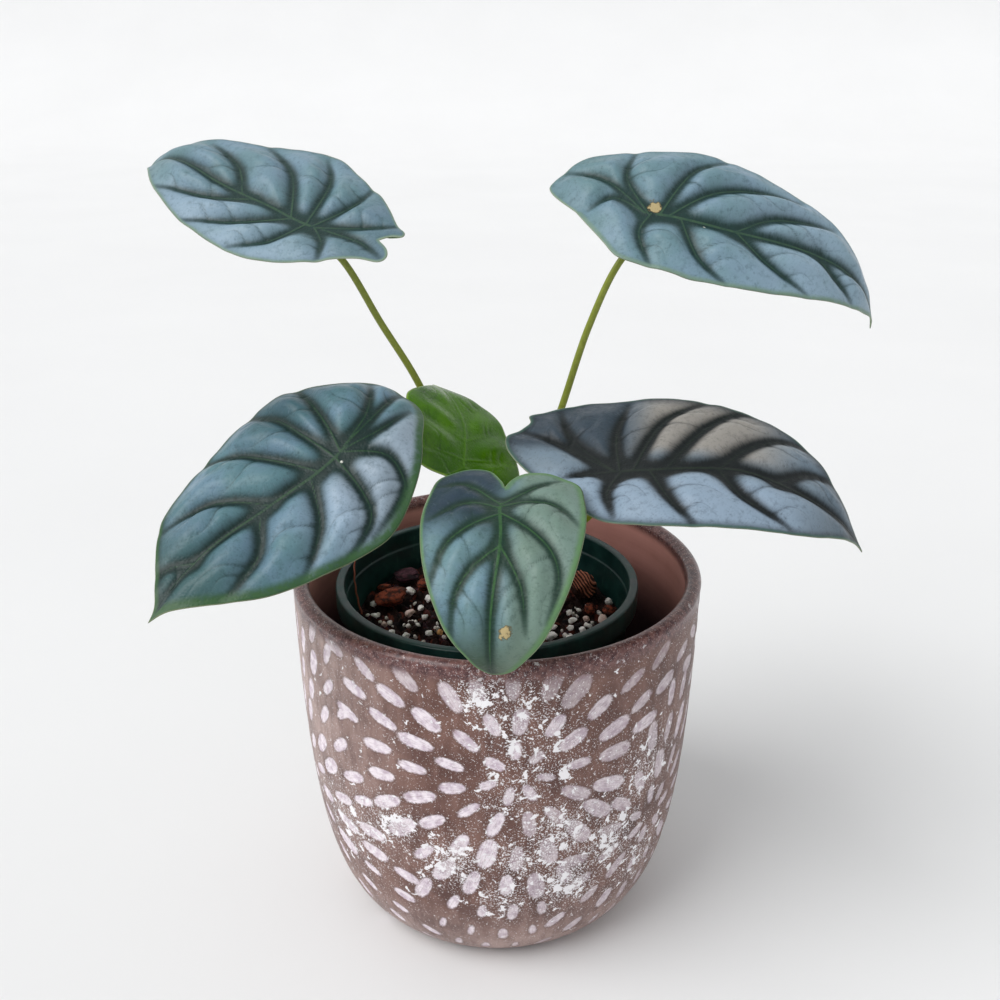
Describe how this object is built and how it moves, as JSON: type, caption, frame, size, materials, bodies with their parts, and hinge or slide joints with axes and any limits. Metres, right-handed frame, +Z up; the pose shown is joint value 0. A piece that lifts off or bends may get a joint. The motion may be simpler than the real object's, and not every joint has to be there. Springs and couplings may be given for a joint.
{
  "type": "potted silver dragon alocasia",
  "caption": "House plant with silvery dark-veined leaves on slender stalks, in a nursery pot of bark mix standing loose inside a rounded ceramic cover pot.",
  "frame": {"origin": "centre of the cover pot's flat foot, on the surface it stands on", "axes": "+Z up along the cover pot's axis; -Y is the front, the side with the leaf that hangs over the rim; +X is to the right seen from the front"},
  "size_m": [0.2621, 0.1582, 0.2705],
  "materials": {
    "cover_pot": "satin purplish brown slip under rubbed pale strokes",
    "nursery_plastic": "semi-matt dark green moulded plastic",
    "potting_mix": "rough dark damp bark fines",
    "corm_skin": "dull fibrous skin",
    "petiole_skin": "smooth satin olive stalk",
    "silver_leaf": "satin silver-blue panels between dark green sunken veins",
    "dark_leaf": "satin grey-silver panels between near-black veins",
    "young_leaf": "glossy bright green",
    "bark": "rough reddish brown bark",
    "coco_husk": "rough striated husk fibre",
    "perlite": "matt porous white",
    "dry_fibre": "dull dry fibre"
  },
  "bodies": {
    "root": {"cover_pot": "cover_pot", "nursery_pot": "nursery_plastic", "potting_mix": "potting_mix", "corm": "corm_skin", "petiole_a": "petiole_skin", "petiole_b": "petiole_skin", "petiole_c": "petiole_skin", "petiole_d": "petiole_skin", "petiole_e": "petiole_skin", "petiole_f": "petiole_skin", "leaf_a": "silver_leaf", "leaf_b": "silver_leaf", "leaf_c": "silver_leaf", "leaf_d": "dark_leaf", "leaf_e": "silver_leaf", "leaf_f": "young_leaf", "bark_1": "bark", "bark_2": "bark", "bark_3": "bark", "bark_4": "bark", "bark_5": "bark", "bark_6": "bark", "bark_7": "bark", "coco_husk": "coco_husk", "perlite_1": "perlite", "perlite_2": "perlite", "perlite_3": "perlite", "perlite_4": "perlite", "perlite_5": "perlite", "perlite_6": "perlite", "perlite_7": "perlite", "perlite_8": "perlite", "perlite_9": "perlite", "perlite_10": "perlite", "perlite_11": "perlite", "perlite_12": "perlite", "perlite_13": "perlite", "perlite_14": "perlite", "perlite_15": "perlite", "perlite_16": "perlite", "perlite_17": "perlite", "perlite_18": "perlite", "perlite_19": "perlite", "perlite_20": "perlite", "perlite_21": "perlite", "perlite_22": "perlite", "perlite_23": "perlite", "perlite_24": "perlite", "perlite_25": "perlite", "perlite_26": "perlite", "dry_fibre": "dry_fibre"}
  },
  "joints": []
}
